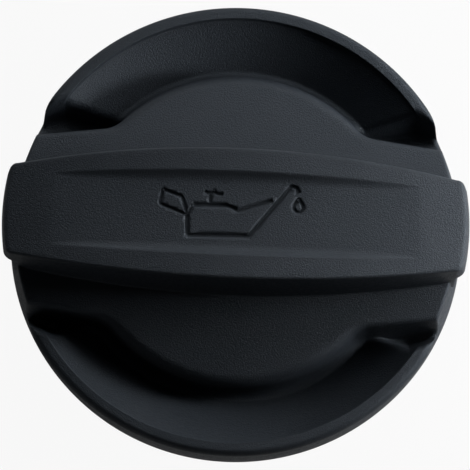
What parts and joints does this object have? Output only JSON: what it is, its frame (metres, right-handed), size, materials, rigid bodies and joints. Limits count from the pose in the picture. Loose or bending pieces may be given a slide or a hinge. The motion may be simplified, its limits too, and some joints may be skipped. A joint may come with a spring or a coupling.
{
  "type": "oil filler cap",
  "caption": "Round bayonet cap for an engine's oil filler, with an arched grip bar, finger pockets, a raised rim, a hollow neck with lugs and a rubber seal.",
  "frame": {"origin": "centre of the neck's end face, on which the cap stands", "axes": "+Z along the cap's axis towards the grip bar, +X along the grip bar, +Y across it"},
  "size_m": [0.0732, 0.0726, 0.0374],
  "materials": {
    "head_plastic": "black glass-filled nylon with a fine spark-eroded grain",
    "neck_plastic": "black glass-filled nylon, smooth as moulded",
    "seal_rubber": "black rubber with a dull sheen"
  },
  "bodies": {
    "root": {"cap_head": "head_plastic", "bayonet_neck": "neck_plastic", "seal_ring": "seal_rubber"}
  },
  "joints": []
}
